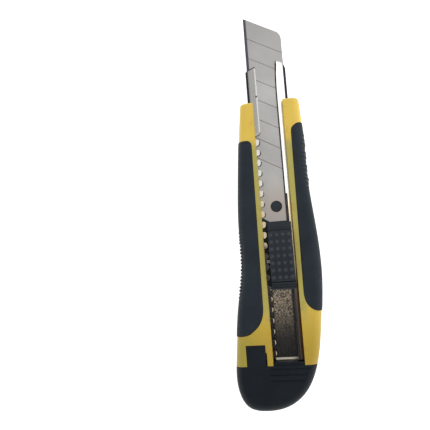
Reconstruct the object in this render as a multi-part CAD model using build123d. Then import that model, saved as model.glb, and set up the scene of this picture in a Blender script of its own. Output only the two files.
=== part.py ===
# Snap-off utility knife with an 18 mm blade, in millimetres.
# X runs across the knife, with 0 on the blade's centre line. +Y runs to the blade's tip. +Z is up, out of
# the front where the thumb button is. The origin is in the middle of the housing's flat back.
from build123d import *
import os

# Driving dimensions of the handle
body_length = 125.0
body_height = 13.0
side_round = 3.6
front_round = 1.2
slot_half = 7.2
parting_y = -body_length / 2 + 0.5
front_y = body_length / 2

# Steel channel that the blade runs in
channel_half = 9.8
sheet = 0.7
channel_floor = 6.0
channel_height = 4.2
channel_rear = parting_y + 1.5
channel_side_front = 78.8
lip_front = 82.7            # front of the right lip's nose
left_lip_front = 81.0
left_lip_edge = -4.75
right_lip_edge = 4.9
lobe_edge = -5.1
lobe_root = -7.0
lobe_pitch = 5.0
lobe_length = 3.04
lobe_count = 21
first_lobe_y = 41.5

# Blade
blade_width = 18.0
tip_corner_round = 5.0
blade_thickness = 0.5
blade_bottom = 8.8
blade_tip = 106.9
blade_rear = 4.3
score_angle = 30.0
score_pitch = 10.0
score_count = 7
score_depth = 0.12
bevel_width = 1.3
blade_hole_y = 11.4
blade_hole_radius = 2.75
boss_radius = 2.55

# Slider
carrier_front = 16.5
slider_front = 3.6
slider_rear = -27.6
arm_front = 17.0
pad_front = -0.4
pad_rear = -24.2
pad_left = -4.8
pad_right = 6.2
flange_bottom = 10.35
flange_top = 11.6
button_travel = 1.0
pad_bottom = flange_top + button_travel + 0.1
pad_top = 16.2
bump_radius = 0.8
bump_columns = 4
bump_rows = 7
bump_pitch_x = 2.75
bump_pitch_y = 3.25

# Lock spring, a steel leaf with a tooth on its left side
leaf_thickness = 0.35
leaf_half_width = 3.0
leaf_top = 10.15
leaf_foot = 2.6
leaf_half_length = 6.5
tooth_width = 1.5
tooth_reach = -6.7
stem_radius = 1.5
stem_spacing = 6.0

# Rubber grips
grip_skin = 1.8
grip_proud = 0.3

# End cap
cap_rear = -82.7
tab_left = -19.3
tab_right = -10.2
tab_top = -52.5
tab_bottom_z = 4.5
snap_relief = 0.45
groove_count = 3
groove_pitch = 2.6

# Derived levels
lip_top = channel_floor + channel_height
lip_bottom = lip_top - sheet
floor_top = channel_floor + sheet
inner_half = channel_half - sheet
blade_top = blade_bottom + blade_thickness
tan_score = 3 ** -0.5
lobe_ys = [first_lobe_y - lobe_pitch * k for k in range(lobe_count)]
tooth_y = first_lobe_y - 11 * lobe_pitch - (lobe_pitch - lobe_length) / 2


def box(x0, x1, y0, y1, z0, z1):
    """Solid box between two corners."""
    return Pos((x0 + x1) / 2, (y0 + y1) / 2, (z0 + z1) / 2) * Box(x1 - x0, y1 - y0, z1 - z0)


def plate(face, z0, z1):
    """Face in the XY plane, raised into a plate between two levels."""
    return Pos(0, 0, z0) * extrude(face, amount=z1 - z0)


def grown(points, amount):
    """Points of an anticlockwise curve, moved outwards square to the line between each one's neighbours."""
    moved = [(points[0][0] - amount, points[0][1])]
    for before, here, after in zip(points, points[1:], points[2:]):
        along = Vector(after[0] - before[0], after[1] - before[1]).normalized()
        moved.append((here[0] + along.Y * amount, here[1] - along.X * amount))
    moved.append((points[-1][0] + amount, points[-1][1]))
    return moved


def body_outline(grow=0.0):
    """Plan of the whole handle: straight front edge, and one smooth curve round the sides and the heel."""
    left_side = [(-13.6, front_y), (-15.5, 45), (-17.5, 22), (-18.6, 1), (-18.7, -17), (-21.8, -36)]
    heel = [(-24.3, -58), (-24.5, -72), (-19.9, -80.9), (-11.0, cap_rear), (-2.0, -81.0), (6.0, -75.4)]
    right_side = [(12.0, -64.6), (15.9, -45), (18.1, -22), (17.2, 2), (15.6, 22), (15.4, 42), (14.7, front_y)]
    points = grown(left_side + heel + right_side, grow)
    return make_face([Spline(*points), Line(points[-1], points[0])])


def body_blank(grow=0.0):
    """The handle's whole outer shape: a rounded slab with a flat front and a flat back."""
    blank = plate(body_outline(grow), 0, body_height + grow)
    rims = [e for e in blank.edges() if e.length > body_length]
    blank = fillet(rims, radius=side_round)
    level = [e for e in blank.edges() if e.bounding_box().size.Y < 0.05]
    mouth = [e for e in level if abs(e.center().Y - front_y) < 0.05]
    return fillet(mouth, radius=front_round)


def left_grip_plan():
    """Plan of the left grip: arched at the top, straight beside the slot, rounded off at the bottom."""
    arch = ThreePointArc((-15.0, 41.8), (-11.9, 43.7), (-9.3, 41.0))
    inner = Line(arch @ 1, (-9.8, -35.0))
    lower = Spline((-9.8, -35.0), (-11.2, -41.8), (-15.4, -46.6), (-22.6, -48.4), tangents=[(0, -1), (-1, 0)])
    outer = Polyline((-22.6, -48.4), (-32, -48.4), (-32, 41.8), (-15.0, 41.8))
    return make_face([arch, inner, lower, outer])


def right_grip_plan():
    """Plan of the right grip: it starts nearer the front and ends nearer the front than the left one."""
    arch = Spline((19.0, 50.2), (14.6, 50.2), (11.4, 48.9), (9.9, 45.5), tangents=[(-1, 0), (0, -1)])
    inner = Line((9.9, 45.5), (9.25, -29.0))
    lower = Spline((9.25, -29.0), (11.2, -35.9), (16.8, -38.3), tangents=[(0, -1), (1, 0)])
    outer = Polyline((16.8, -38.3), (26, -38.3), (26, 50.2), (19.0, 50.2))
    return make_face([arch, inner, lower, outer])


def grip_core():
    """The part of the handle that the rubber skins leave inside them."""
    return plate(body_outline(-grip_skin), grip_skin, body_height - grip_skin)


def make_grip(plan):
    """Rubber skin that wraps the side of the housing, from its front face round to its back."""
    region = plate(plan, 0, body_height + 2)
    skin = (body_blank(grip_proud) & region) - grip_core()
    below_back = plate(plan, -1, 0)
    return skin - below_back


def make_housing():
    """Yellow housing: a floor under the channel and two rails that hook over the channel's lips."""
    body = body_blank() - plate(make_rear_area(), -1, body_height + 1)
    core = grip_core()
    for plan in (left_grip_plan(), right_grip_plan()):
        body -= plate(plan, -1, body_height + 1) - core
    body -= box(-channel_half, channel_half, -100, front_y + 5, channel_floor, lip_top)
    body -= box(-slot_half, slot_half, -100, front_y + 5, lip_top - 0.1, body_height + 1)
    above = body_height + 1
    relief_top = tab_top - 3.5
    body -= box(tab_left, tab_right, parting_y - 1, tab_top, tab_bottom_z, above)
    body -= box(tab_right - 0.1, tab_right + snap_relief, parting_y - 1, relief_top, tab_bottom_z, above)
    return body


def make_rear_area():
    """Plan of everything behind the parting line."""
    return Pos(0, parting_y - 25) * Rectangle(80, 50)


def make_channel():
    """Steel channel: floor, two walls and two lips, with a row of locking lobes along the left lip."""
    outer = Rectangle(2 * channel_half, channel_height)
    outer = fillet(outer.vertices(), radius=1.0)
    inner = fillet(Rectangle(2 * inner_half, channel_height - 2 * sheet).vertices(), radius=0.3)
    middle = (left_lip_edge + right_lip_edge) / 2
    gap = Pos(middle, channel_height / 2) * Rectangle(right_lip_edge - left_lip_edge, 2 * sheet + 0.2)
    section = outer - inner - gap
    length = lip_front - channel_rear
    rear_centre = (0, channel_rear, channel_floor + channel_height / 2)
    rear_plane = Plane(rear_centre, x_dir=(1, 0, 0), z_dir=(0, -1, 0))
    channel = extrude(rear_plane * section, amount=-length)
    channel -= nose_cut()
    channel -= lobe_gaps()
    return channel


def nose_cut():
    """Trims the channel's nose: the lips run out to rounded points, ahead of the shorter side walls."""
    left = [(-12, -90), (-12, channel_side_front - 0.6), (-channel_half, channel_side_front)]
    left_nose = [(-8.3, channel_side_front + 0.8), (-5.2, left_lip_front), (-4.75, left_lip_front - 0.4)]
    right_nose = [(right_lip_edge + 0.1, lip_front - 0.6), (5.6, lip_front), (8.9, lip_front - 1.4)]
    right = [(channel_half, channel_side_front), (12, channel_side_front - 0.6), (12, -90)]
    keep = Polyline(*left, *left_nose, *right_nose, *right, close=True)
    whole = Pos(0, 50) * Rectangle(60, 300)
    return plate(whole - make_face(keep), channel_floor - 1, lip_top + 1)


def lobe_gaps():
    """What is cut from the left lip behind its plain stretch, leaving half-round lobes every pitch."""
    strip_front = first_lobe_y + lobe_pitch
    strip = Pos((lobe_root + left_lip_edge) / 2, strip_front - 60) * Rectangle(left_lip_edge - lobe_root, 120)
    strip -= Pos(lobe_root, strip_front) * lobe_shape()
    for y in lobe_ys:
        strip -= Pos(lobe_root, y) * lobe_shape()
    return plate(strip, lip_bottom - 0.1, lip_top + 0.1)


def lobe_shape():
    """Plan of one lobe, from its root: a short neck that ends in a half-round nose."""
    reach = lobe_edge - lobe_root
    radius = 1.3
    shape = Pos(reach / 2 - 1, lobe_length / 2) * Rectangle(reach + 2, lobe_length)
    return fillet(shape.vertices().sort_by(Axis.X)[-2:], radius=radius)


def make_blade():
    """Segmented blade: flat strip with an edge along its left side, score lines, a hole and a cut tail."""
    half = blade_width / 2
    middle = blade_bottom + blade_thickness / 2
    bevel_x = -half + bevel_width
    edge = [(bevel_x, blade_bottom), (-half, middle), (bevel_x, blade_top)]
    section = make_face(Polyline(*edge, (half, blade_top), (half, blade_bottom), close=True))
    rear_plane = Plane((0, blade_rear, 0), x_dir=(1, 0, 0), z_dir=(0, -1, 0))
    strip = extrude(rear_plane * section, amount=-(blade_tip - blade_rear))
    spine_front = blade_tip - blade_width * tan_score
    tail = (-3.8, blade_rear)
    plan = make_face(Polyline((-half, blade_rear + 3.4), (-half, blade_tip), (half, spine_front),
                              (half, blade_rear), tail, close=True))
    corner = plan.vertices().sort_by(Axis.X)[-2:].sort_by(Axis.Y)[-1]
    plan = fillet(corner, radius=tip_corner_round)
    blade = strip & plate(plan, blade_bottom - 1, blade_top + 1)
    blade -= Pos(0, blade_hole_y, middle) * Cylinder(blade_hole_radius, 4)
    for k in range(1, score_count + 1):
        blade -= score_groove(blade_tip - score_pitch * k)
    return blade


def score_groove(edge_y):
    """Shallow V groove across the blade's upper face, which a segment snaps off along."""
    half_open = 0.15
    groove = make_face(Polyline((-half_open, 0.02), (half_open, 0.02), (0, -score_depth), close=True))
    middle_y = edge_y - blade_width / 2 * tan_score
    bar = extrude(Plane.YZ * groove, amount=blade_width * 0.7, both=True)
    return Pos(0, middle_y, blade_top) * (Rot(0, 0, -score_angle) * bar)


def make_carrier():
    """Slider's frame: a sled in the channel, a neck between the lips and a flange that rides over them."""
    sled_half = inner_half - 0.15
    sled = box(-sled_half, sled_half, slider_rear, carrier_front, floor_top + 0.05, blade_bottom - 0.05)
    step = box(-sled_half, sled_half, slider_rear, blade_rear - 0.1, floor_top + 0.05, lip_bottom - 0.1)
    tail = [(-sled_half, 1), (-sled_half, blade_rear + 3.2), (-3.9, blade_rear - 0.2), (-3.9, 1)]
    tail_step = plate(make_face(Polyline(*tail, close=True)), floor_top + 0.05, lip_bottom - 0.1)
    neck_bottom = lip_bottom - 0.2
    neck = box(left_lip_edge + 0.2, right_lip_edge - 0.2, slider_rear, slider_front, neck_bottom, flange_top)
    flange = box(pad_left, pad_right, slider_rear, slider_front, flange_bottom, flange_top)
    boss = Pos(0, blade_hole_y, blade_bottom + 0.5) * Cylinder(boss_radius, 1.1)
    front_block = box(pad_left, pad_right, pad_front + 0.25, slider_front, flange_top, flange_top + 1.0)
    rear_block = box(pad_left, pad_right, slider_rear, pad_rear - 0.25, flange_top, flange_top + 2.6)
    arm_left = right_lip_edge + 0.1
    arm = box(arm_left, arm_left + 0.65, slider_front - 0.5, arm_front, flange_bottom, flange_top)
    carrier = sled + step + tail_step + neck + flange + arm + boss + front_block + rear_block
    return carrier - rear_grooves() - spring_pocket()


def rear_grooves():
    """Two grooves across the slider's rear block, for the thumb nail."""
    top = flange_top + 2.6
    grooves = [box(pad_left - 1, pad_right + 1, y - 0.3, y + 0.3, top - 0.6, top + 1) for y in (-25.6, -26.7)]
    return grooves[0] + grooves[1]


def spring_pocket():
    """Well under the flange for the lock spring, the slot for its tooth and the button's two stem holes."""
    reach = leaf_half_length + 0.3
    well = box(-4.2, 4.2, tooth_y - reach, tooth_y + reach, floor_top, flange_bottom)
    window = box(-channel_half, -4.0, tooth_y - 1.2, tooth_y + 1.2, floor_top + 1.4, flange_bottom)
    return well + window + stems(stem_radius + 0.12, flange_bottom - 1, flange_top + 1)


def stems(radius, z0, z1):
    """The button's two round stems, or the holes that they slide in, between two levels."""
    stem_y = tooth_y + stem_spacing / 2
    stem = Pos(0, stem_y, (z0 + z1) / 2) * Cylinder(radius, z1 - z0)
    return stem + Pos(0, -stem_spacing, 0) * stem


def make_button():
    """Thumb button: an arched pad with rows of round bumps, on two stems that stand on the lock spring."""
    length = pad_front - pad_rear
    middle_y = (pad_front + pad_rear) / 2
    middle_x = (pad_left + pad_right) / 2
    end_top = pad_top - 1.0
    arch = ThreePointArc((pad_rear, end_top), (middle_y, pad_top), (pad_front, end_top))
    front_corners = [(pad_front, end_top), (pad_front, pad_bottom)]
    base = Polyline(*front_corners, (pad_rear, pad_bottom), (pad_rear, end_top))
    side = make_face([arch, base])
    pad = extrude(Plane.YZ.offset(pad_left) * side, amount=pad_right - pad_left)
    pad = fillet(pad.edges().filter_by(Axis.Z), radius=0.8)
    rise = pad_top - end_top
    for row in range(bump_rows):
        y = middle_y + bump_pitch_y * (row - (bump_rows - 1) / 2)
        z = pad_top - rise * (2 * (y - middle_y) / length) ** 2
        for column in range(bump_columns):
            x = middle_x + bump_pitch_x * (column - (bump_columns - 1) / 2)
            pad += Pos(x, y, z - 0.75) * Sphere(bump_radius + 0.3)
    return pad + stems(stem_radius, leaf_top + 0.05, pad_bottom + 0.5)


def make_lock_spring():
    """Bridge-shaped steel leaf: two sloping legs on the channel's floor, and a tooth between two lobes."""
    low = floor_top + 0.03
    flat = leaf_half_length - leaf_foot
    upper = [(tooth_y - leaf_half_length, low + leaf_thickness), (tooth_y - flat, leaf_top),
             (tooth_y + flat, leaf_top), (tooth_y + leaf_half_length, low + leaf_thickness)]
    lower = [(y, z - leaf_thickness) for y, z in reversed(upper)]
    side = make_face(Polyline(*upper, *lower, close=True))
    leaf = extrude(Plane.YZ.offset(-leaf_half_width) * side, amount=2 * leaf_half_width)
    tooth = box(tooth_reach, 1 - leaf_half_width, tooth_y - tooth_width / 2, tooth_y + tooth_width / 2,
                leaf_top - leaf_thickness, leaf_top)
    return leaf + tooth


def make_end_cap():
    """End cap: the handle's heel, a snap tab in the left rail and a plug that closes the channel."""
    heel = body_blank() & box(-40, 40, -100, parting_y, 0, body_height)
    tab = body_blank() & box(tab_left + 0.1, tab_right - 0.1, parting_y - 0.5, tab_top - 0.15,
                             tab_bottom_z + 0.05, body_height)
    snap_edge = tab_right + snap_relief - 0.1
    snap = box(tab_right - 0.2, snap_edge, -58.4, -56.2, tab_bottom_z + 0.5, body_height - 0.4)
    root = parting_y - 0.5
    end = channel_rear - 0.05
    plug = box(-channel_half + 0.1, channel_half - 0.1, root, end, channel_floor + 0.05, lip_top - 0.05)
    wall = box(-slot_half + 0.1, slot_half - 0.1, root, end, lip_top - 0.1, body_height - 0.5)
    cap = heel + tab + snap + plug + wall
    for k in range(groove_count):
        y = parting_y - groove_pitch * (k + 0.6)
        cap -= box(-9, 9.5 - 1.5 * k, y - 0.3, y + 0.3, body_height - 0.3, body_height + 1)
    return cap


parts = {
    "housing": make_housing,
    "grip_left": lambda: make_grip(left_grip_plan()),
    "grip_right": lambda: make_grip(right_grip_plan()),
    "blade_channel": make_channel,
    "blade": make_blade,
    "blade_carrier": make_carrier,
    "thumb_button": make_button,
    "lock_spring": make_lock_spring,
    "end_cap": make_end_cap,
}

os.makedirs("parts", exist_ok=True)
for name, make in parts.items():
    shape = make()
    export_step(shape, f"parts/{name}.step")
    print(name, round(shape.volume, 1))
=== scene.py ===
import math

import bpy
import numpy as np
from mathutils import Matrix, Vector
from mathutils.bvhtree import BVHTree


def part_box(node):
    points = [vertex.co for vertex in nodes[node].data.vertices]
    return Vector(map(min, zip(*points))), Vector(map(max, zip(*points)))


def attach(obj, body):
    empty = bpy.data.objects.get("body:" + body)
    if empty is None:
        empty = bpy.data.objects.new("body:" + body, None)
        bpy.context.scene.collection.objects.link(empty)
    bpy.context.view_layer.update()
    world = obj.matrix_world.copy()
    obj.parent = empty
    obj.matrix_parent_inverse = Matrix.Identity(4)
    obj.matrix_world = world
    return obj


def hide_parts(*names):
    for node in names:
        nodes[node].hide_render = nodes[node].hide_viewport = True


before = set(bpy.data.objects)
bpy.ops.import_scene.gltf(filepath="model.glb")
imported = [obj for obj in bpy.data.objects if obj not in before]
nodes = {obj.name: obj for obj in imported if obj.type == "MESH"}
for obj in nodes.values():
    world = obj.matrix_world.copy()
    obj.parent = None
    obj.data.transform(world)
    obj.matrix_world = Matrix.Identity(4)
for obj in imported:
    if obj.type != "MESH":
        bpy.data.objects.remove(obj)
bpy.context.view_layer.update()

mm = 0.001


def nodeBox(name):  # a node's lowest and highest corners, as arrays
    low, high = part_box(name)
    return np.array(low), np.array(high)


# stage, light and camera
cameraSetup = {
    "place": (12.5 * mm, -15.7 * mm, 247.6 * mm),
    "aim": (-31.6 * mm, 10.9 * mm, 0.0),
    "lean": 4.09,              # degrees that the knife leans to the left in the view
    "lens": 41.86,
    "nearest": 0.01,
}
lightSetup = {
    "softboxPlace": (0.34, 0.36, 0.42),
    "softboxSize": (0.36, 0.42),
    "softboxPower": 1.2,
    "skyColor": (1.0, 0.995, 0.98, 1.0),
    "horizon": 1.0,            # the sky's strength low down
    "horizonTop": (0.9, 0.72),   # where it gives way to the overhead pattern
    "overhead": 0.765,
    "heelDim": 0.05,           # dim towards the heel and the left, bright at the right
    "heelFade": (-0.13, 0.08),
    "leftDim": 0.06,
    "leftFade": (-0.4, -0.12),
    "rightGain": 2.4,
    "rightFade": (0.08, 0.25),
}
floorSetup = {
    "size": 6.0,
    "drop": 0.02 * mm,
    "color": (0.6, 0.6, 0.6, 1.0),
    "rough": 0.8,
    "glow": 0.9,
}


def makeCamera(setup):
    data = bpy.data.cameras.new("camera")
    data.lens = setup["lens"]
    data.sensor_width = 36.0
    data.clip_start = setup["nearest"]
    camera = bpy.data.objects.new("camera", data)
    bpy.context.scene.collection.objects.link(camera)
    place = Vector(setup["place"])
    look = (Vector(setup["aim"]) - place).normalized()
    lean = math.radians(setup["lean"])
    upright = Vector((math.sin(lean), math.cos(lean), 0.0))
    right = look.cross(upright).normalized()
    up = right.cross(look)
    turned = Matrix((right, up, -look)).transposed().to_4x4()
    camera.matrix_world = Matrix.Translation(place) @ turned
    bpy.context.scene.camera = camera


def makeSoftbox(setup):  # it faces the origin
    data = bpy.data.lights.new("softbox", "AREA")
    data.shape = "RECTANGLE"
    data.size, data.size_y = setup["softboxSize"]
    data.energy = setup["softboxPower"]
    lamp = bpy.data.objects.new("softbox", data)
    bpy.context.scene.collection.objects.link(lamp)
    lamp.location = setup["softboxPlace"]
    lamp.visible_glossy = False   # its reflection would blank out the blade from the left
    lamp.rotation_euler = (-Vector(setup["softboxPlace"])).to_track_quat("-Z", "Y").to_euler()


# Overhead strength is the product of a ramp along the knife and one to either side.
# It gives way to the bright horizon by a smooth step on the height.
def makeSky(setup):
    world = bpy.data.worlds.new("sky")
    bpy.context.scene.world = world
    world.use_nodes = True
    tree = world.node_tree
    coordinates = tree.nodes.new("ShaderNodeTexCoord")
    x, y, z = addSplit(tree, coordinates.outputs["Generated"])
    ahead = addRange(tree, y, *setup["heelFade"], setup["heelDim"], setup["overhead"])
    left = addRange(tree, x, *setup["leftFade"], setup["leftDim"], 1.0)
    right = addRange(tree, x, *setup["rightFade"], 1.0, setup["rightGain"])
    overhead = addProduct(tree, addProduct(tree, ahead, left), right)
    low = addBand(tree, z, *setup["horizonTop"])
    overhead = addProduct(tree, overhead, addMath(tree, "SUBTRACT", 1.0, low))
    level = addMath(tree, "ADD", overhead, addProduct(tree, low, setup["horizon"]))
    background = tree.nodes["Background"]
    background.inputs["Color"].default_value = setup["skyColor"]
    tree.links.new(level, background.inputs["Strength"])


def makeFloor(setup):  # a flat grid just under the knife
    grid = np.linspace(-setup["size"], setup["size"], 9)
    x, y = np.meshgrid(grid, grid)
    floor = meshFromGrid("floor", np.stack([x, y, np.full_like(x, -setup["drop"])], -1))
    floor.data.materials.append(paleFloor(setup))


# mesh helpers
def addObject(name, points, faces):
    mesh = bpy.data.meshes.new(name)
    mesh.from_pydata(points.reshape(-1, 3).tolist(), [], faces)
    mesh.polygons.foreach_set("use_smooth", np.full(len(mesh.polygons), True))
    mesh.update()
    thing = bpy.data.objects.new(name, mesh)
    bpy.context.scene.collection.objects.link(thing)
    return thing


# Point number is row times columns plus column; each face joins a point to the next in its row and
# to the two beside them in the next row. With closed the last column is joined to the first.
def gridFaces(rows, columns, closed=False):
    step = columns if closed else columns - 1
    row, column = np.meshgrid(np.arange(rows - 1), np.arange(step), indexing="ij")
    nextColumn = (column + 1) % columns
    quads = [
        row * columns + column,
        row * columns + nextColumn,
        (row + 1) * columns + nextColumn,
        (row + 1) * columns + column,
    ]
    return np.stack(quads, -1).reshape(-1, 4)


def meshFromGrid(name, points):
    rows, columns = points.shape[:2]
    return addObject(name, points, gridFaces(rows, columns).tolist())


# materials
def newMaterial(name):
    material = bpy.data.materials.new(name)
    material.use_nodes = True
    tree = material.node_tree
    shader = tree.nodes["Principled BSDF"]
    return material, tree, shader


def addNoise(tree, coordinates, scale, detail=3.0, stretch=None, rough=0.55):
    noise = tree.nodes.new("ShaderNodeTexNoise")
    noise.inputs["Scale"].default_value = scale
    noise.inputs["Detail"].default_value = detail
    noise.inputs["Roughness"].default_value = rough
    if stretch is None:
        tree.links.new(coordinates, noise.inputs["Vector"])
    else:
        mapping = tree.nodes.new("ShaderNodeMapping")
        mapping.inputs["Scale"].default_value = stretch
        tree.links.new(coordinates, mapping.inputs["Vector"])
        tree.links.new(mapping.outputs["Vector"], noise.inputs["Vector"])
    return noise.outputs["Fac"]


def addRange(tree, value, fromLow, fromHigh, toLow, toHigh):
    node = tree.nodes.new("ShaderNodeMapRange")
    node.inputs["From Min"].default_value = fromLow
    node.inputs["From Max"].default_value = fromHigh
    node.inputs["To Min"].default_value = toLow
    node.inputs["To Max"].default_value = toHigh
    tree.links.new(value, node.inputs["Value"])
    return node.outputs["Result"]


def addBand(tree, value, start, full):  # 0 before start and 1 beyond full, smooth between
    node = tree.nodes.new("ShaderNodeMapRange")
    node.interpolation_type = "SMOOTHSTEP"
    node.inputs["From Min"].default_value = min(start, full)
    node.inputs["From Max"].default_value = max(start, full)
    node.inputs["To Min"].default_value = 0.0 if start < full else 1.0
    node.inputs["To Max"].default_value = 1.0 if start < full else 0.0
    tree.links.new(value, node.inputs["Value"])
    return node.outputs["Result"]


def addMix(tree, factor, colorA, colorB):
    node = tree.nodes.new("ShaderNodeMix")
    node.data_type = "RGBA"
    tree.links.new(factor, node.inputs["Factor"])
    for socket, color in ((node.inputs[6], colorA), (node.inputs[7], colorB)):
        if isinstance(color, tuple):
            socket.default_value = color + (1.0,)
        else:
            tree.links.new(color, socket)
    return node.outputs[2]


def addMath(tree, operation, a, b):
    node = tree.nodes.new("ShaderNodeMath")
    node.operation = operation
    for socket, value in ((node.inputs[0], a), (node.inputs[1], b)):
        if isinstance(value, (int, float)):
            socket.default_value = value
        else:
            tree.links.new(value, socket)
    return node.outputs[0]


def addProduct(tree, a, b):
    return addMath(tree, "MULTIPLY", a, b)


def addBump(tree, shader, height, strength, distance):
    bump = tree.nodes.new("ShaderNodeBump")
    bump.inputs["Strength"].default_value = strength
    bump.inputs["Distance"].default_value = distance
    tree.links.new(height, bump.inputs["Height"])
    tree.links.new(bump.outputs["Normal"], shader.inputs["Normal"])


def objectPoint(tree):
    return tree.nodes.new("ShaderNodeTexCoord").outputs["Object"]


def addSplit(tree, point):  # x, y and z outputs of a vector
    split = tree.nodes.new("ShaderNodeSeparateXYZ")
    tree.links.new(point, split.inputs[0])
    return list(split.outputs)


def addGrain(tree, shader, point, tones):  # patchy roughness and a fine grain in relief
    scuff = addNoise(tree, point, tones["scuff"], 4.0)
    tree.links.new(addRange(tree, scuff, 0.3, 0.7, *tones["rough"]), shader.inputs["Roughness"])
    grain = addNoise(tree, point, tones["grain"], 2.0)
    addBump(tree, shader, grain, tones["relief"], tones["grainDepth"])


# Roughness in fine lines, as on ground steel, along the way in which stretch is smallest.
def addLines(tree, shader, point, tones):
    lines = addNoise(tree, point, 1.0, 4.0, tones["stretch"])
    tree.links.new(addRange(tree, lines, 0.3, 0.7, *tones["rough"]), shader.inputs["Roughness"])
    return lines


def paleFloor(setup):
    material, _, shader = newMaterial("paleFloor")
    shader.inputs["Base Color"].default_value = setup["color"]
    shader.inputs["Roughness"].default_value = setup["rough"]
    shader.inputs["Emission Color"].default_value = (1.0, 1.0, 1.0, 1.0)
    shader.inputs["Emission Strength"].default_value = setup["glow"]
    return material


# Near-black rubber and plastics, blotched between a lighter and a darker tone.
rubberTones = {
    "light": (0.013, 0.021, 0.029), "dark": (0.009, 0.015, 0.022),
    "rough": (0.5, 0.68), "scuff": 700.0, "shine": 0.28,
    "grain": 5000.0, "grainDepth": 0.04 * mm, "relief": 0.35,
}
capTones = {
    "light": (0.005, 0.009, 0.014), "dark": (0.003, 0.006, 0.010),
    "rough": (0.42, 0.57), "scuff": 700.0, "shine": 0.25,
    "grain": 9000.0, "grainDepth": 0.02 * mm, "relief": 0.35,
}
sliderTones = {
    "light": (0.019, 0.026, 0.034), "dark": (0.013, 0.018, 0.024),
    "rough": (0.45, 0.6), "scuff": 700.0, "shine": 0.35,
    "grain": 9000.0, "grainDepth": 0.02 * mm, "relief": 0.35,
}


def mouldedPlastic(name, tones):
    material, tree, shader = newMaterial(name)
    point = objectPoint(tree)
    blotch = addRange(tree, addNoise(tree, point, 90.0), 0.35, 0.65, 0.0, 1.0)
    tree.links.new(addMix(tree, blotch, tones["dark"], tones["light"]), shader.inputs["Base Color"])
    shader.inputs["Specular IOR Level"].default_value = tones["shine"]
    addGrain(tree, shader, point, tones)
    return material


# Yellow, olive beside the slot and darker towards the heel by painted shade, with dirt near the slot.
yellowTones = {
    "fresh": (0.71, 0.50, 0.082), "fresh2": (0.67, 0.465, 0.072),
    "olive": (0.41, 0.355, 0.085), "heel": (0.42, 0.285, 0.033),
    "corner": (0.34, 0.28, 0.045), "grime": (0.30, 0.19, 0.06),
    "heelFade": (-20.0 * mm, -60.0 * mm),
    "cornerFade": (-40.0 * mm, -58.0 * mm), "cornerSide": (-8.0 * mm, -20.0 * mm),
    "stripHalf": (10.9 * mm, 9.5 * mm),
    "stripFront": (46.0 * mm, 38.0 * mm), "stripRear": (-46.0 * mm, -34.0 * mm),
    "dirt": (0.52, 0.72), "dirtHalf": (10.5 * mm, 7.2 * mm), "dirtAmount": 0.5,
    "rough": (0.36, 0.5), "scuff": 500.0, "shine": 0.4,
    "grain": 7000.0, "grainDepth": 0.02 * mm, "relief": 0.3,
}


def housingPlastic(tones):
    material, tree, shader = newMaterial("yellowPlastic")
    point = objectPoint(tree)
    x, y = addSplit(tree, point)[:2]
    across = addMath(tree, "ABSOLUTE", x, 0.0)
    blotch = addRange(tree, addNoise(tree, point, 60.0), 0.35, 0.65, 0.0, 1.0)
    color = addMix(tree, blotch, tones["fresh2"], tones["fresh"])
    # painted shade: the yellow darkens towards the heel, standing in for the light falling off there
    color = addMix(tree, addBand(tree, y, *tones["heelFade"]), color, tones["heel"])
    cornerSide = addBand(tree, x, *tones["cornerSide"])
    corner = addProduct(tree, addBand(tree, y, *tones["cornerFade"]), cornerSide)
    color = addMix(tree, corner, color, tones["corner"])
    strip = addBand(tree, across, *tones["stripHalf"])
    for edges in ("stripFront", "stripRear"):
        strip = addProduct(tree, strip, addBand(tree, y, *tones[edges]))
    color = addMix(tree, strip, color, tones["olive"])
    dirt = addBand(tree, addNoise(tree, point, 260.0, 5.0, rough=0.6), *tones["dirt"])
    dirt = addProduct(tree, addBand(tree, across, *tones["dirtHalf"]), dirt)
    color = addMix(tree, addProduct(tree, dirt, tones["dirtAmount"]), color, tones["grime"])
    tree.links.new(color, shader.inputs["Base Color"])
    shader.inputs["Specular IOR Level"].default_value = tones["shine"]
    addGrain(tree, shader, point, tones)
    return material


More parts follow.
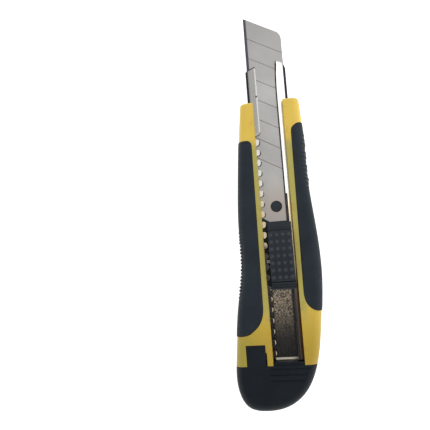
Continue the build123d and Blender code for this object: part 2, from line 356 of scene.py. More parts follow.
# Plain bright lips, a speckled tan floor and grey sides. Painted shade darkens the floor
# towards the heel and under the lips, the left lip's flat at the front, a dimple, and towards
# the heel the lobes and the right lip. The outer bends carry a dark painted reflection, the lips
# a warm one towards the heel, and the floor's rear end a painted highlight.
channelTones = {
    "lip": (0.86, 0.85, 0.83), "shadedLip": (0.5, 0.495, 0.48), "warm": (0.85, 0.70, 0.50),
    "shade": (0.10, 0.09, 0.09), "brown": (0.17, 0.085, 0.05), "endHighlight": (0.75, 0.70, 0.58),
    "wall": (0.03, 0.03, 0.042), "side": (0.42, 0.42, 0.43),
    "speckLight": (0.95, 0.78, 0.60), "speckDark": (0.14, 0.118, 0.095),
    "floorDark": (0.12, 0.115, 0.115),
    "floorTop": (7.0 * mm, 8.0 * mm),   # the floor's colours end and the lips' begin
    "speckScale": 1900.0, "speck": (0.42, 0.6), "speckDepth": 0.02 * mm,
    "floorShade": (-32.0 * mm, -54.0 * mm),
    "floorRight": (3.1 * mm, 3.9 * mm), "floorLeft": (-4.8 * mm, -5.6 * mm),
    "shadedLipSide": (-5.25 * mm, -5.55 * mm), "shadedLipStart": (46.0 * mm, 48.0 * mm),
    "warmFade": (22.0 * mm, 10.0 * mm),
    "lobeShade": (-5.5 * mm, -9.0 * mm), "lobeRim": (-5.6 * mm, -5.85 * mm),
    "lipShade": (-16.0 * mm, -27.0 * mm), "rightHalf": (0.0, 1.0 * mm),
    "brownSide": (5.7 * mm, 6.6 * mm), "streaks": (1500.0, 12.0, 12.0), "streakAmount": 0.35,
    "dimple": (-5.25 * mm, 65.9 * mm, 10.1 * mm), "dimpleRadius": (0.65 * mm, 0.3 * mm),
    "wallStart": (8.5 * mm, 8.7 * mm), "wallShift": -0.05 * mm, "bendLow": (7.9 * mm, 8.3 * mm),
    "endLine": (-59.2 * mm, -59.5 * mm),
    "endTop": (7.2 * mm, 6.9 * mm), "endLeft": (-6.4 * mm, -6.0 * mm),
    "stretch": (3000.0, 120.0, 3000.0), "rough": (0.18, 0.3),
}


def channelMetal(tones):
    material, tree, shader = newMaterial("channelSteel")
    point = objectPoint(tree)
    x, y, z = addSplit(tree, point)
    speckNoise = addNoise(tree, point, tones["speckScale"], 3.0, rough=0.6)
    speck = addBand(tree, speckNoise, *tones["speck"])
    ground = addMix(tree, speck, tones["speckDark"], tones["speckLight"])
    # painted shade: the floor darkens towards the heel
    ground = addMix(tree, addBand(tree, y, *tones["floorShade"]), ground, tones["floorDark"])
    # painted shadow under the lips at the floor's left and right sides
    for edges in ("floorRight", "floorLeft"):
        ground = addMix(tree, addBand(tree, x, *tones[edges]), ground, tones["shade"])

    # painted shade: the left lip's flat is darker at the front, its inner edge left bright
    lipShadeFront = addBand(tree, y, *tones["shadedLipStart"])
    darker = addProduct(tree, addBand(tree, x, *tones["shadedLipSide"]), lipShadeFront)
    upper = addMix(tree, darker, tones["lip"], tones["shadedLip"])
    # painted reflection: the lips turn warm tan towards the heel
    upper = addMix(tree, addBand(tree, y, *tones["warmFade"]), upper, tones["warm"])
    # painted shade: the lobes darken towards the heel, their rims left bright
    lobeRim = addBand(tree, x, *tones["lobeRim"])
    lobes = addProduct(tree, addBand(tree, y, *tones["lobeShade"]), lobeRim)
    upper = addMix(tree, lobes, upper, tones["shade"])
    # painted shade: towards the heel the right lip darkens, brown towards its outer side and streaked
    # warm
    streaks = addBand(tree, addNoise(tree, point, 1.0, 2.0, tones["streaks"]), 0.5, 0.75)
    rightLip = addMix(tree, addBand(tree, x, *tones["brownSide"]), tones["shade"], tones["brown"])
    rightLip = addMix(tree, addProduct(tree, streaks, tones["streakAmount"]), rightLip, tones["warm"])
    rightHalf = addBand(tree, x, *tones["rightHalf"])
    onRight = addProduct(tree, addBand(tree, y, *tones["lipShade"]), rightHalf)
    upper = addMix(tree, onRight, upper, rightLip)
    # painted shade: a dark spot where a dimple sits on the left lip
    away = tree.nodes.new("ShaderNodeVectorMath")
    away.operation = "DISTANCE"
    away.inputs[1].default_value = tones["dimple"]
    tree.links.new(point, away.inputs[0])
    dimple = addBand(tree, away.outputs["Value"], *tones["dimpleRadius"])
    upper = addMix(tree, dimple, upper, tones["shade"])

    color = addMix(tree, addBand(tree, z, *tones["floorTop"]), ground, upper)
    # painted reflection: the outer bends are dark and not metallic, over metallic grey sides
    across = addMath(tree, "ABSOLUTE", addMath(tree, "ADD", x, tones["wallShift"]), 0.0)
    onSide = addBand(tree, across, *tones["wallStart"])
    color = addMix(tree, onSide, color, tones["side"])
    wall = addProduct(tree, onSide, addBand(tree, z, *tones["bendLow"]))
    color = addMix(tree, wall, color, tones["wall"])
    # painted highlight: a light, non-metallic band along the floor's rear end
    end = addProduct(tree, addBand(tree, y, *tones["endLine"]), addBand(tree, z, *tones["endTop"]))
    end = addProduct(tree, end, addBand(tree, x, *tones["endLeft"]))
    color = addMix(tree, end, color, tones["endHighlight"])
    tree.links.new(color, shader.inputs["Base Color"])
    bare = addMath(tree, "SUBTRACT", 1.0, addMath(tree, "MAXIMUM", wall, end))
    tree.links.new(bare, shader.inputs["Metallic"])
    shader.inputs["Specular IOR Level"].default_value = 0.0
    addLines(tree, shader, point, tones)
    onFloor = addBand(tree, z, *reversed(tones["floorTop"]))
    addBump(tree, shader, addProduct(tree, speck, onFloor), 0.2, tones["speckDepth"])
    return material


# Fine lines ground along the blade, a dark cutting edge on its left, dark score lines near that
# edge by painted shade in the bottoms of their grooves, faint straw-coloured tarnish near the hole
# and a greyer tip.
bladeTones = {
    "bright": (0.66, 0.65, 0.64), "darker": (0.56, 0.55, 0.545), "edge": (0.13, 0.12, 0.155),
    "straw": (0.62, 0.50, 0.42), "tip": (0.45, 0.445, 0.44), "groove": (0.22, 0.21, 0.23),
    "tarnish": (30.0 * mm, 5.0 * mm), "tarnishAmount": 0.7,
    "tipFade": (60.0 * mm, 105.0 * mm), "tipAmount": 0.8,
    "bevel": (-7.4 * mm, -7.85 * mm),
    "grooveDepth": (9.29 * mm, 9.26 * mm), "grooveSide": (-7.9 * mm, -7.5 * mm),
    "stretch": (2600.0, 60.0, 200.0), "rough": (0.33, 0.45), "lineDepth": 0.01 * mm,
}


def bladeMetal(tones):
    material, tree, shader = newMaterial("bladeSteel")
    shader.inputs["Metallic"].default_value = 1.0
    point = objectPoint(tree)
    x, y, z = addSplit(tree, point)
    cloud = addRange(tree, addNoise(tree, point, 70.0, 4.0), 0.35, 0.65, 0.0, 1.0)
    color = addMix(tree, cloud, tones["darker"], tones["bright"])
    tarnish = addProduct(tree, addBand(tree, y, *tones["tarnish"]), cloud)
    color = addMix(tree, addProduct(tree, tarnish, tones["tarnishAmount"]), color, tones["straw"])
    tip = addProduct(tree, addBand(tree, y, *tones["tipFade"]), tones["tipAmount"])
    color = addMix(tree, tip, color, tones["tip"])
    color = addMix(tree, addBand(tree, x, *tones["bevel"]), color, tones["edge"])
    # painted shade: the score grooves are dark at their bottoms
    grooveSide = addBand(tree, x, *tones["grooveSide"])
    groove = addProduct(tree, addBand(tree, z, *tones["grooveDepth"]), grooveSide)
    color = addMix(tree, groove, color, tones["groove"])
    tree.links.new(color, shader.inputs["Base Color"])
    lines = addLines(tree, shader, point, tones)
    addBump(tree, shader, lines, 0.2, tones["lineDepth"])
    return material


# Stained steel: dark on the channel's cut edges as painted shade, bright on the lock spring.
cutTones = {
    "light": (0.07, 0.065, 0.065), "dark": (0.04, 0.04, 0.045),
    "stretch": (3000.0, 3000.0, 120.0), "rough": (0.5, 0.65), "lineDepth": 0.01 * mm,
}
springTones = {
    "light": (0.45, 0.44, 0.43), "dark": (0.3, 0.29, 0.28),
    "stretch": (3000.0, 120.0, 3000.0), "rough": (0.25, 0.4), "lineDepth": 0.01 * mm,
}


def stainAndShadeSteel(name, tones):
    material, tree, shader = newMaterial(name)
    shader.inputs["Metallic"].default_value = 1.0
    point = objectPoint(tree)
    stain = addRange(tree, addNoise(tree, point, 160.0, 6.0, rough=0.65), 0.35, 0.62, 0.0, 1.0)
    tree.links.new(addMix(tree, stain, tones["dark"], tones["light"]), shader.inputs["Base Color"])
    lines = addLines(tree, shader, point, tones)
    addBump(tree, shader, lines, 0.25, tones["lineDepth"])
    return material


# rubber grips
gripShape = {
    "height": 13.0 * mm,       # the housing's thickness
    "corner": 3.6 * mm,        # rounding between the faces and the side
    "proud": 0.3 * mm,         # how far the rubber stands out of the plastic
    "edgeRound": 0.45 * mm,
    "thinnest": 0.02 * mm,
    "skin": 1.1 * mm,
    "studBeat": 0.22,          # how much the studs differ from one to the next
    "beatPace": 0.73,
    "studFade": (5.0 * mm, 3.0 * mm),   # they fade in at the rear and out at the front
    "studTurn": (0.45, 0.8),   # sine of the angle at which they fade in towards the side
    "backTurn": (0.1, 0.8),    # the back stays level with the housing's back
    "rowPower": 0.85,          # below 1 it draws the rows towards the ends
    "rows": 460,
    "frontColumns": 26,
    "sideColumns": 18,
}
leftGrip = {
    "side": -1, "low": -48.4 * mm, "high": 43.8 * mm,
    "innerFront": -9.1 * mm, "innerRear": -9.85 * mm,
    "lowCurve": (13.4 * mm, 2.25), "highCurve": (2.6 * mm, 2.4 * mm, 2.0),
    "studs": (-33.0 * mm, 1.5 * mm), "studPitch": (1.6 * mm, 1.7 * mm), "studHeight": 0.7 * mm,
}
rightGrip = {
    "side": 1, "low": -38.3 * mm, "high": 50.2 * mm,
    "innerFront": 9.95 * mm, "innerRear": 9.2 * mm,
    "lowCurve": (9.5 * mm, 2.3), "highCurve": (4.8 * mm, 4.8 * mm, 2.0),
    "studs": (17.0 * mm, 47.0 * mm), "studPitch": (2.1 * mm, 30.0 * mm), "studHeight": 0.7 * mm,
}


# Outermost x of a carried-over part at half height, for each y: where a ray from the side meets it.
def outlineAt(name, side, y):
    tree = BVHTree.FromObject(nodes[name], bpy.context.evaluated_depsgraph_get())
    half = gripShape["height"] / 2
    inward = Vector((-side, 0.0, 0.0))
    hits = [tree.ray_cast(Vector((side * 0.05, value, half)), inward)[0] for value in y]
    return np.array([0.0 if hit is None else side * hit.x for hit in hits])


def smoothStep(value, start, end):  # 3 t squared less 2 t cubed, t being 0 at start and 1 at end
    t = np.clip((value - start) / (end - start), 0.0, 1.0)
    return t * t * (3.0 - 2.0 * t)


# The gap from the outline to the inner edge, narrowed by a superellipse at each end: a width times
# (1 less the way into the end, to a power), all to one over that power.
def gripWidth(grip, y, outer):
    low, high = grip["low"], grip["high"]
    inner = np.interp(y, [low, high], [grip["innerRear"], grip["innerFront"]])
    lowReach, lowPower = grip["lowCurve"]
    highReach, highWidth, highPower = grip["highCurve"]
    intoLow = np.clip((low + lowReach - y) / lowReach, 0.0, 1.0)
    width = np.abs(outer - inner) * (1.0 - intoLow ** lowPower) ** (1.0 / lowPower)
    intoHigh = np.clip((y - high + highReach) / highReach, 0.0, 1.0)
    width -= highWidth * (1.0 - (1.0 - intoHigh ** highPower) ** (1.0 / highPower))
    return np.maximum(width, gripShape["thinnest"])[:, None]


# Across a row the skin runs flat from the inner edge, turns a quarter circle of the corner's radius,
# goes down the side, and returns the same way underneath. Inset is the distance in from the outline
# and level the height, with the sine and cosine of the angle turned: the outward normal.
def gripSection(shape, width):
    corner, height = shape["corner"], shape["height"]
    startAngle = np.arcsin(1.0 - np.minimum(width, corner) / corner)
    flatLength = np.maximum(width - corner, 0.0)
    pathLength = flatLength + corner * (np.pi / 2 - startAngle)
    path = np.linspace(0.0, 1.0, shape["frontColumns"])[None, :] * pathLength
    tilt = startAngle + np.maximum(path - flatLength, 0.0) / corner
    inset = np.where(path < flatLength, width - path, corner * (1.0 - np.sin(tilt)))
    tilt = np.where(path < flatLength, 0.0, tilt)
    level = height - corner * (1.0 - np.cos(tilt))
    t = np.linspace(0.0, 1.0, shape["sideColumns"])[None, 1:-1] * np.ones_like(width)
    sideLevel = (height - corner) + (2 * corner - height) * t
    inset = np.concatenate([inset, np.zeros_like(t), inset[:, ::-1]], axis=1)
    level = np.concatenate([level, sideLevel, height - level[:, ::-1]], axis=1)
    sine = np.concatenate([np.sin(tilt), np.ones_like(t), np.sin(tilt[:, ::-1])], axis=1)
    cosine = np.concatenate([np.cos(tilt), np.zeros_like(t), -np.cos(tilt[:, ::-1])], axis=1)
    return inset, level, sine, cosine


# How far the skin stands out: a quarter ellipse up from its edge, and on the side studs, whose
# height is the size of a cosine along the grip times a cosine round it, less a half.
def gripLift(shape, grip, along, fromInner, section):
    inset, level, sine, cosine = section
    fromEdge = np.minimum(fromInner, np.minimum(along - grip["low"], grip["high"] - along))
    reach = np.clip(fromEdge / shape["edgeRound"], 0.0, 1.0)
    lift = shape["proud"] * np.sqrt(1.0 - (1.0 - reach) ** 2)
    pitchY, pitchRound = grip["studPitch"]
    insetStep = np.diff(inset, axis=1, prepend=inset[:, :1])
    levelStep = np.diff(level, axis=1, prepend=level[:, :1])
    around = np.cumsum(np.hypot(insetStep, levelStep), axis=1)
    around -= around[:, -1:] / 2
    wave = np.cos(np.pi * along / pitchY) * np.cos(np.pi * around / pitchRound)
    studStart, studEnd = grip["studs"]
    fadeIn, fadeOut = shape["studFade"]
    onSide = smoothStep(sine, *shape["studTurn"]) * smoothStep(along, studStart, studStart + fadeIn)
    onSide *= smoothStep(-along, -studEnd, -studEnd + fadeOut)
    uneven = 1.0 + shape["studBeat"] * np.cos(shape["beatPace"] * np.pi * along / pitchY)
    lift += grip["studHeight"] * onSide * (np.abs(wave) * uneven - 0.5)
    return lift * (1.0 - smoothStep(-cosine, *shape["backTurn"]))


# Rows run along the grip, spaced by a cosine to a power, and columns run round it. Each point is
# the section's point moved out along its normal by the lift.
def makeGrip(name, grip, material):
    shape = gripShape
    side, low, high = grip["side"], grip["low"], grip["high"]
    turn = np.cos(np.linspace(0.0, np.pi, shape["rows"]))
    y = (low + high) / 2 - (high - low) / 2 * np.sign(turn) * np.abs(turn) ** shape["rowPower"]
    under = outlineAt(name, side, y) - shape["proud"]
    outer = side * np.maximum(under, outlineAt("housing", side, y))
    width = gripWidth(grip, y, outer)
    section = gripSection(shape, width)
    inset, level, sine, cosine = section
    along = y[:, None] * np.ones_like(inset)
    lift = gripLift(shape, grip, along, width - inset, section)
    x = outer[:, None] - side * inset + side * sine * lift
    z = level + cosine * lift
    points = np.stack([x, along, z], -1)
    if side < 0:
        points = points[:, ::-1]
    skin = meshFromGrid(name + "_rubber", points)
    solid = skin.modifiers.new("thickness", "SOLIDIFY")
    solid.thickness = shape["skin"]
    solid.offset = -1.0
    solid.use_even_offset = False
    skin.data.materials.append(material)
    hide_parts(name)
    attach(skin, "handle")
    print(name, "has", len(points) * points.shape[1], "points")


# steel channel
channelShape = {
    "sheet": 0.7 * mm, "half": 9.8 * mm, "floor": 6.0 * mm, "top": 10.2 * mm,
    "bend": 1.5 * mm, "insideCorner": 0.2 * mm,
    "rear": -60.5 * mm,
    "leftEdge": -4.75 * mm, "plainRound": 2.0 * mm,
    "bulge": 0.14 * mm, "lobeBulge": 0.42 * mm, "rightBulge": 0.6 * mm,   # rounding of the lips' edges
    "lobeEdge": -5.3 * mm, "lobeRoot": -7.3 * mm, "lobeFirst": 41.5 * mm, "lobePitch": 5.0 * mm,
    "lobeLength": 3.04 * mm, "lobeRound": 1.3 * mm, "lobes": 21,
    "lobeDip": 0.14 * mm, "dipStart": 0.6 * mm, "dipReach": 2.2 * mm,
    "rightEdge": 4.3 * mm, "rightFlare": 0.75 * mm,
    "rightRise": 0.55 * mm, "risePower": 1.2,   # the right lip rises towards its edge
    "underLift": 0.77,         # share of that by which its underside doesn't sink, to clear the blade
    "noseStart": 66.0 * mm, "noseLength": 14.0 * mm,
    "nose": (                  # its outline, from the left side to the right
        (-9.8 * mm, 78.8 * mm), (-8.3 * mm, 79.6 * mm), (-5.3 * mm, 81.0 * mm), (-4.75 * mm, 80.5 * mm),
        (4.7 * mm, 82.0 * mm), (5.5 * mm, 82.7 * mm), (8.8 * mm, 81.3 * mm), (9.8 * mm, 78.8 * mm),
    ),
    "lipPlaces": (0.0, 0.012, 0.05), "lipStart": 0.15, "lipColumns": 7,
    "bendColumns": 7, "edgeColumns": 6,
    "cutEnd": 0.4, "cutSide": 0.8, "cutRound": 0.985,   # tilts of a normal that tell the cut faces
    "cutForward": 0.12, "cutReach": 1.6 * mm, "cutRear": -9.0 * mm, "cutFront": 1.5 * mm,
}


# Places along the knife: on a lobe the cosine of equal angles, so that they are closer together at
# its ends, then equal steps to the nose.
def channelRows(shape):
    swing = (1.0 - np.cos(np.linspace(0.0, np.pi, 15))) / 2
    length, pitch = shape["lobeLength"], shape["lobePitch"]
    gap = [length + 0.03 * mm, length + 0.7 * mm, pitch - 0.03 * mm]
    onePitch = np.concatenate([swing * length, gap])
    starts = shape["lobeFirst"] - pitch * np.arange(shape["lobes"])[::-1]
    lobed = (starts[:, None] + onePitch[None, :]).ravel()
    plainStart = shape["lobeFirst"] + pitch
    plain = plainStart + shape["plainRound"] * (1.0 - np.cos(np.linspace(0.0, np.pi / 2, 10)))
    rest = np.linspace(plain[-1], shape["noseStart"], 8)[1:]
    rear = np.array([shape["rear"], shape["rear"] + 0.4 * mm])
    return np.concatenate([rear, lobed[lobed > rear[-1] + 0.1 * mm], plain, rest])


# The height of a circle over its top, at a distance in from its side: the root of the radius squared
# less the rest of the way squared, less the radius.
def quarterRound(distance, radius):
    return np.sqrt(np.maximum(radius ** 2 - (radius - distance) ** 2, 0.0)) - radius


# The left lip's edge: lobes with quarter circles at their ends, deep gaps between them, and past the
# last lobe a straight edge that starts in a quarter circle.
def leftLipEdge(shape, y):
    phase = np.mod(y - shape["lobeFirst"] + 0.001 * mm, shape["lobePitch"]) - 0.001 * mm
    fromEnd = np.clip(np.minimum(phase, shape["lobeLength"] - phase), -1.0, shape["lobeRound"])
    lobe = shape["lobeEdge"] + quarterRound(fromEnd, shape["lobeRound"])
    lobe = np.where(fromEnd < -0.005 * mm, shape["lobeRoot"], lobe)
    plainStart = shape["lobeFirst"] + shape["lobePitch"] - 0.002 * mm
    intoPlain = np.clip(y - plainStart, 0.0, shape["plainRound"])
    plain = shape["leftEdge"] + quarterRound(intoPlain, shape["plainRound"])
    return np.where(y > plainStart, plain, lobe)


def rightLipEdge(shape, y):  # straight, then flared by the square of the way along the nose
    beyond = np.clip((y - shape["noseStart"]) / shape["noseLength"], 0.0, 1.0)
    return shape["rightEdge"] + shape["rightFlare"] * beyond ** 2


# The sheet's middle line in each row, from the left lip's edge to the right lip's: straight lips and
# sides joined by four quarter circles. The lobes dip, and the right lip rises by a power of the way
# from its edge. Sunk is how far each column is below where a level right lip would be.
def channelMiddle(shape, y, lipSteps, arc):
    middle = shape["sheet"] / 2
    half, high, low = shape["half"] - middle, shape["top"] - middle, shape["floor"] + middle
    bend, rise = shape["bend"] - middle, shape["rightRise"]
    one = np.ones_like(y)
    sine, cosine = np.sin(arc), np.cos(arc)
    isLobe = np.where(y < shape["lobeFirst"] + shape["lobePitch"], 1.0, 0.0)
    bulge = shape["bulge"] + (shape["lobeBulge"] - shape["bulge"]) * isLobe
    leftEdge = leftLipEdge(shape, y) - bulge
    rightEdge = rightLipEdge(shape, y) + shape["rightBulge"]
    rightSteps = lipSteps[:, ::-1]
    leftX = leftEdge + (-half + bend - leftEdge) * lipSteps
    rightX = rightEdge + (half - bend - rightEdge) * rightSteps
    intoLobe = np.clip((leftX - shape["lobeRoot"] + shape["dipStart"]) / shape["dipReach"], 0.0, 1.0)
    parts = [
        (leftX, high - isLobe * shape["lobeDip"] * intoLobe),
        (-half + bend - bend * sine[:, 1:], high - bend + bend * cosine[:, 1:]),
        (-half + bend - bend * cosine, low + bend - bend * sine),
        (half - bend + bend * cosine[:, ::-1], low + bend - bend * sine[:, ::-1]),
        (half - bend + bend * cosine[:, :-1], high - rise - bend + bend * sine[:, :-1]),
        (rightX, high - rise * rightSteps ** shape["risePower"]),
    ]
    x = np.concatenate([part[0] * one for part in parts], axis=1)
    z = np.concatenate([part[1] * one for part in parts], axis=1)
    level = np.zeros((1, x.shape[1] - (arc.size - 1) - lipSteps.size))
    sunk = np.concatenate([level, rise * sine[:, :-1], rise * rightSteps ** shape["risePower"]], axis=1)
    return x, z, bulge, sunk


# The inside of the four bends: quarter circles of a small radius, to give the blade and the sled room.
def tightBends(shape, arc):
    sheet, inside = shape["sheet"], shape["insideCorner"]
    wide, roof = shape["half"] - sheet - inside, shape["top"] - sheet - inside
    ground = shape["floor"] + sheet + inside
    sunkRoof = roof - (1.0 - shape["underLift"]) * shape["rightRise"]
    sine, cosine = inside * np.sin(arc), inside * np.cos(arc)
    corners = [
        (-wide - sine[:, 1:], roof + cosine[:, 1:]),
        (-wide - cosine, ground - sine),
        (wide + cosine[:, ::-1], ground - sine[:, ::-1]),
        (wide + cosine[:, :-1], sunkRoof + sine[:, :-1]),
    ]
    return [np.concatenate([corner[axis] for corner in corners], axis=1) for axis in (0, 1)]


# A closed grid of loops, with each end of the sheet filled in: by quads between its two skins, and by
# one face inside each rounded edge.
def channelFaces(rows, count, edge):
    columns = 2 * (count + edge)
    outerIndex = np.arange(count)
    innerIndex = count + edge + np.arange(count)[::-1]
    cap = np.stack([outerIndex[:-1], outerIndex[1:], innerIndex[1:], innerIndex[:-1]], -1)
    endRing = np.arange(count - 1, count + edge + 1)
    startRing = np.append(np.arange(columns - edge - 1, columns), 0)
    last = (rows - 1) * columns
    faces = gridFaces(rows, columns, True)[:, ::-1].tolist()
    faces += cap.tolist() + [endRing.tolist(), startRing.tolist()]
    faces += (cap[:, ::-1] + last).tolist()
    faces += [(endRing[::-1] + last).tolist(), (startRing[::-1] + last).tolist()]
    return faces


# The faces that take painted shade: across the sheet's ends on the lips, the right lip's rounded
# edge, and the rounded ends and rims of the lobes that show. Told by where a face's middle is and
# how it leans.
def isCutFace(mesh, shape, rows, columns):
    normal, centre = np.empty((2, len(mesh.polygons) * 3))
    mesh.polygons.foreach_get("normal", normal)
    mesh.polygons.foreach_get("center", centre)
    normal, centre = normal.reshape(-1, 3), centre.reshape(-1, 3)
    upright = np.abs(normal[:, 2])
    onLip = centre[:, 2] > shape["top"] - shape["sheet"] - shape["lobeDip"]
    isCut = (upright < shape["cutSide"]) & onLip & (np.abs(normal[:, 1]) > shape["cutEnd"])
    rim = rightLipEdge(shape, centre[:, 1]) + shape["rightBulge"]
    isCut |= onLip & (centre[:, 0] > 0.0) & (centre[:, 0] < rim)
    nearRim = np.abs(centre[:, 0] - shape["lobeEdge"]) < shape["cutReach"]
    onLobe = (upright < shape["cutRound"]) & onLip & nearRim & (normal[:, 1] < shape["cutForward"])
    lobesEnd = shape["lobeFirst"] + shape["lobePitch"] + shape["cutFront"]
    isCut |= onLobe & (centre[:, 1] > shape["cutRear"]) & (centre[:, 1] < lobesEnd)
    lastRow = np.arange(len(centre)) // columns == rows - 2
    return isCut | (lastRow & onLip & (centre[:, 0] < 0.0))


# Half the sheet's thickness to either side of the middle line, along its normal, gives the two skins.
# Half ellipses join them at the lips' edges, and the nose's rows are drawn out to its outline.
def makeChannel(material, cutMaterial):
    shape = channelShape
    y = channelRows(shape)
    nose = np.concatenate([np.linspace(0.0, 1.0, 14)[1:-1], [0.965, 1.0]])
    rows = len(y) + len(nose)
    yRow = np.concatenate([y, shape["noseStart"] + nose * shape["noseLength"]])[:, None]
    middle = shape["sheet"] / 2
    spread = np.linspace(shape["lipStart"], 1.0, shape["lipColumns"])
    lipSteps = np.concatenate([shape["lipPlaces"], spread])[None, :]
    arc = np.linspace(0.0, np.pi / 2, shape["bendColumns"])[None, :]
    x, z, bulge, sunk = channelMiddle(shape, yRow, lipSteps, arc)
    alongX, alongZ = np.gradient(x, axis=1), np.gradient(z, axis=1)
    length = np.maximum(np.hypot(alongX, alongZ), 1e-9)
    normalX, normalZ = alongZ / length, -alongX / length
    outerX, outerZ = x + normalX * middle, z + normalZ * middle
    innerX, innerZ = x - normalX * middle, z - normalZ * middle
    innerZ += shape["underLift"] * sunk   # the underside falls away less than the top
    bends = slice(lipSteps.size, -lipSteps.size)
    innerX[:, bends], innerZ[:, bends] = tightBends(shape, arc)
    edge = shape["edgeColumns"]
    turn = np.linspace(0.0, np.pi, edge + 2)[None, 1:-1]
    startX = x[:, :1] + bulge * np.sin(turn)
    startZ = z[:, :1] + (outerZ[:, :1] - z[:, :1]) * -np.cos(turn)
    endX = x[:, -1:] - shape["rightBulge"] * np.sin(turn)
    endZ = z[:, -1:] + (outerZ[:, -1:] - z[:, -1:]) * np.cos(turn)
    loopX = np.concatenate([outerX, endX, innerX[:, ::-1], startX], axis=1)
    loopZ = np.concatenate([outerZ, endZ, innerZ[:, ::-1], startZ], axis=1)
    noseX, noseY = np.array(shape["nose"]).T
    columnEnd = np.interp(loopX[-1], noseX, noseY)[None, :]
    stretch = np.concatenate([np.zeros(len(y)), nose])[:, None]
    drawn = shape["noseStart"] + stretch * (columnEnd - shape["noseStart"])
    loopY = np.where(stretch > 0, drawn, yRow * np.ones_like(loopX))
    columns = loopX.shape[1]
    faces = channelFaces(rows, x.shape[1], edge)
    steel = addObject("blade_channel_sheet", np.stack([loopX, loopY, loopZ], -1), faces)
    steel.data.materials.append(material)
    steel.data.materials.append(cutMaterial)
    # painted shade on the cut faces, by the second material
    isCut = isCutFace(steel.data, shape, rows, columns)
    steel.data.polygons.foreach_set("material_index", isCut.astype(np.int32))
    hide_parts("blade_channel")
    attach(steel, "handle")
    print("channel has", rows * columns, "points")


# thumb button
buttonShape = {
    "edgeRound": 0.9 * mm,
    "rise": 1.0 * mm,          # height of the arch over its ends
    "topDrop": 0.43 * mm,      # from the domes' highest point down to the arch
    "domeRows": 7, "domeColumns": 4,
    "domePitch": (2.75 * mm, 3.25 * mm),
    "domeRadius": 1.0 * mm, "domeHeight": 0.45 * mm, "domePower": 0.55,
    "rows": 190, "columns": 120,
    "underside": 12.7 * mm,
}
# Black plastic that is lighter on the tops of the domes.
padTones = {
    "light": (0.030, 0.039, 0.050), "dark": (0.010, 0.014, 0.020),
    "lighterTop": (0.12 * mm, 0.42 * mm),   # heights over the arch
    "rough": (0.42, 0.58), "scuff": 700.0, "shine": 0.35,
    "grain": 9000.0, "grainDepth": 0.02 * mm, "relief": 0.35,
}


# The height over the arch is z plus the arch's fall: its rise times the square of the way from the
# middle to an end.
def padPlastic(tones):
    material, tree, shader = newMaterial("padPlastic")
    low, high = nodeBox("thumb_button")
    halfLength = float(high[1] - low[1]) / 2
    point = objectPoint(tree)
    y, z = addSplit(tree, point)[1:]
    fromMiddle = addMath(tree, "SUBTRACT", y, float(low[1]) + halfLength)
    along = addMath(tree, "DIVIDE", fromMiddle, halfLength)
    fall = addProduct(tree, addProduct(tree, along, along), buttonShape["rise"])
    level = addMath(tree, "ADD", z, fall)
    ground = float(high[2]) - buttonShape["topDrop"]
    # lighter tone by height over the arch, on the tops of the domes
    lighterStart, lighterFull = tones["lighterTop"]
    lighterTop = addBand(tree, level, ground + lighterStart, ground + lighterFull)
    tree.links.new(addMix(tree, lighterTop, tones["dark"], tones["light"]), shader.inputs["Base Color"])
    shader.inputs["Specular IOR Level"].default_value = tones["shine"]
    addGrain(tree, shader, point, tones)
    return material


def rimReach(offset, half, width):  # 0 on the flat, rising to 1 over the rim's width
    return np.clip((np.abs(offset) - half + width) / width, 0.0, 1.0)


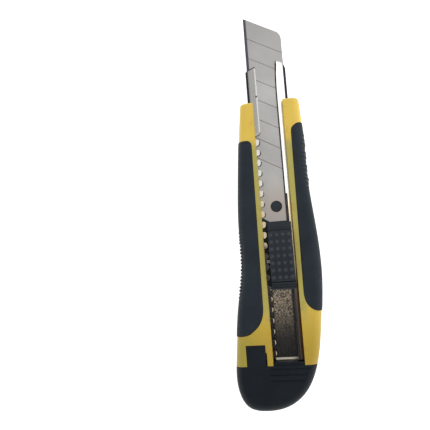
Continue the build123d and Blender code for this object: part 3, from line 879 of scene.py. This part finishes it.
# Height over a rectangle: a parabolic arch along the knife, a grid of domes, each 1 less the square
# of the way from its middle, to a power, and a rim that falls in a quarter circle. The corners are
# pulled in to round them. The sheet is carried on down the sides and closed underneath.
def makeButton(material):
    shape = buttonShape
    low, high = nodeBox("thumb_button")
    middle = (low + high) / 2
    halfX, halfY = (high[0] - low[0]) / 2, (high[1] - low[1]) / 2
    u = np.linspace(-1.0, 1.0, shape["columns"])
    v = np.linspace(-1.0, 1.0, shape["rows"])
    x, y = np.meshgrid(middle[0] + halfX * u, middle[1] + halfY * v)
    offX, offY = x - middle[0], y - middle[1]
    z = high[2] - shape["topDrop"] - shape["rise"] * (offY / halfY) ** 2
    pitchX, pitchY = shape["domePitch"]
    manyX, manyY = shape["domeColumns"], shape["domeRows"]
    stepX, stepY = offX / pitchX - 0.5 * ((manyX + 1) % 2), offY / pitchY
    nearX = (stepX - np.clip(np.round(stepX), -manyX / 2, manyX / 2 - 1)) * pitchX
    nearY = (stepY - np.clip(np.round(stepY), -(manyY // 2), manyY // 2)) * pitchY
    away = np.hypot(nearX, nearY) / shape["domeRadius"]
    z += shape["domeHeight"] * np.clip(1.0 - away ** 2, 0.0, 1.0) ** shape["domePower"]
    width = shape["edgeRound"]
    rimX, rimY = rimReach(offX, halfX, width), rimReach(offY, halfY, width)
    corner = np.hypot(rimX, rimY)
    z -= width * (1.0 - np.sqrt(1.0 - np.minimum(corner, 1.0) ** 2))
    sheet = np.stack([x, y, z], -1)
    pull = np.stack([np.sign(offX) * rimX, np.sign(offY) * rimY, np.zeros_like(x)], -1)
    beyond = 1.0 - 1.0 / np.maximum(corner, 1.0)   # 0 all over but in the corners
    sheet -= pull * width * beyond[..., None]
    skirt = np.pad(sheet, ((1, 1), (1, 1), (0, 0)), mode="edge")
    for edge in (skirt[0], skirt[-1], skirt[:, 0], skirt[:, -1]):
        edge[:, 2] = shape["underside"]
    rows, columns = skirt.shape[:2]
    index = np.arange(rows * columns).reshape(rows, columns)
    loop = np.concatenate([index[0, :-1], index[:-1, -1], index[-1, :0:-1], index[:0:-1, 0]])
    faces = gridFaces(rows, columns).tolist() + [loop[::-1].tolist()]
    body = addObject("thumb_button_pad", skirt, faces)
    body.data.materials.append(material)
    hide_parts("thumb_button")
    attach(body, "button")
    print("thumb button has", rows * columns, "points")


makeCamera(cameraSetup)
makeSoftbox(lightSetup)
makeSky(lightSetup)
makeFloor(floorSetup)
bpy.context.scene.view_settings.view_transform = "Standard"
print("stage, lights and camera are in place")

yellow = housingPlastic(yellowTones)
rubber = mouldedPlastic("gripRubber", rubberTones)
capBlack = mouldedPlastic("capPlastic", capTones)
sliderBlack = mouldedPlastic("sliderPlastic", sliderTones)
channelSteel = channelMetal(channelTones)
bladeSteel = bladeMetal(bladeTones)
cutSteel = stainAndShadeSteel("cutSteel", cutTones)
springSteel = stainAndShadeSteel("springSteel", springTones)

finishes = {
    "housing": yellow,
    "grip_left": rubber,
    "grip_right": rubber,
    "end_cap": capBlack,
    "blade_carrier": sliderBlack,
    "thumb_button": sliderBlack,
    "blade_channel": channelSteel,
    "blade": bladeSteel,
    "lock_spring": springSteel,
}
for name, material in finishes.items():
    nodes[name].data.materials.clear()
    nodes[name].data.materials.append(material)
print("materials are on the carried-over parts")

makeGrip("grip_left", leftGrip, rubber)
makeGrip("grip_right", rightGrip, rubber)
makeChannel(channelSteel, cutSteel)
makeButton(padPlastic(padTones))
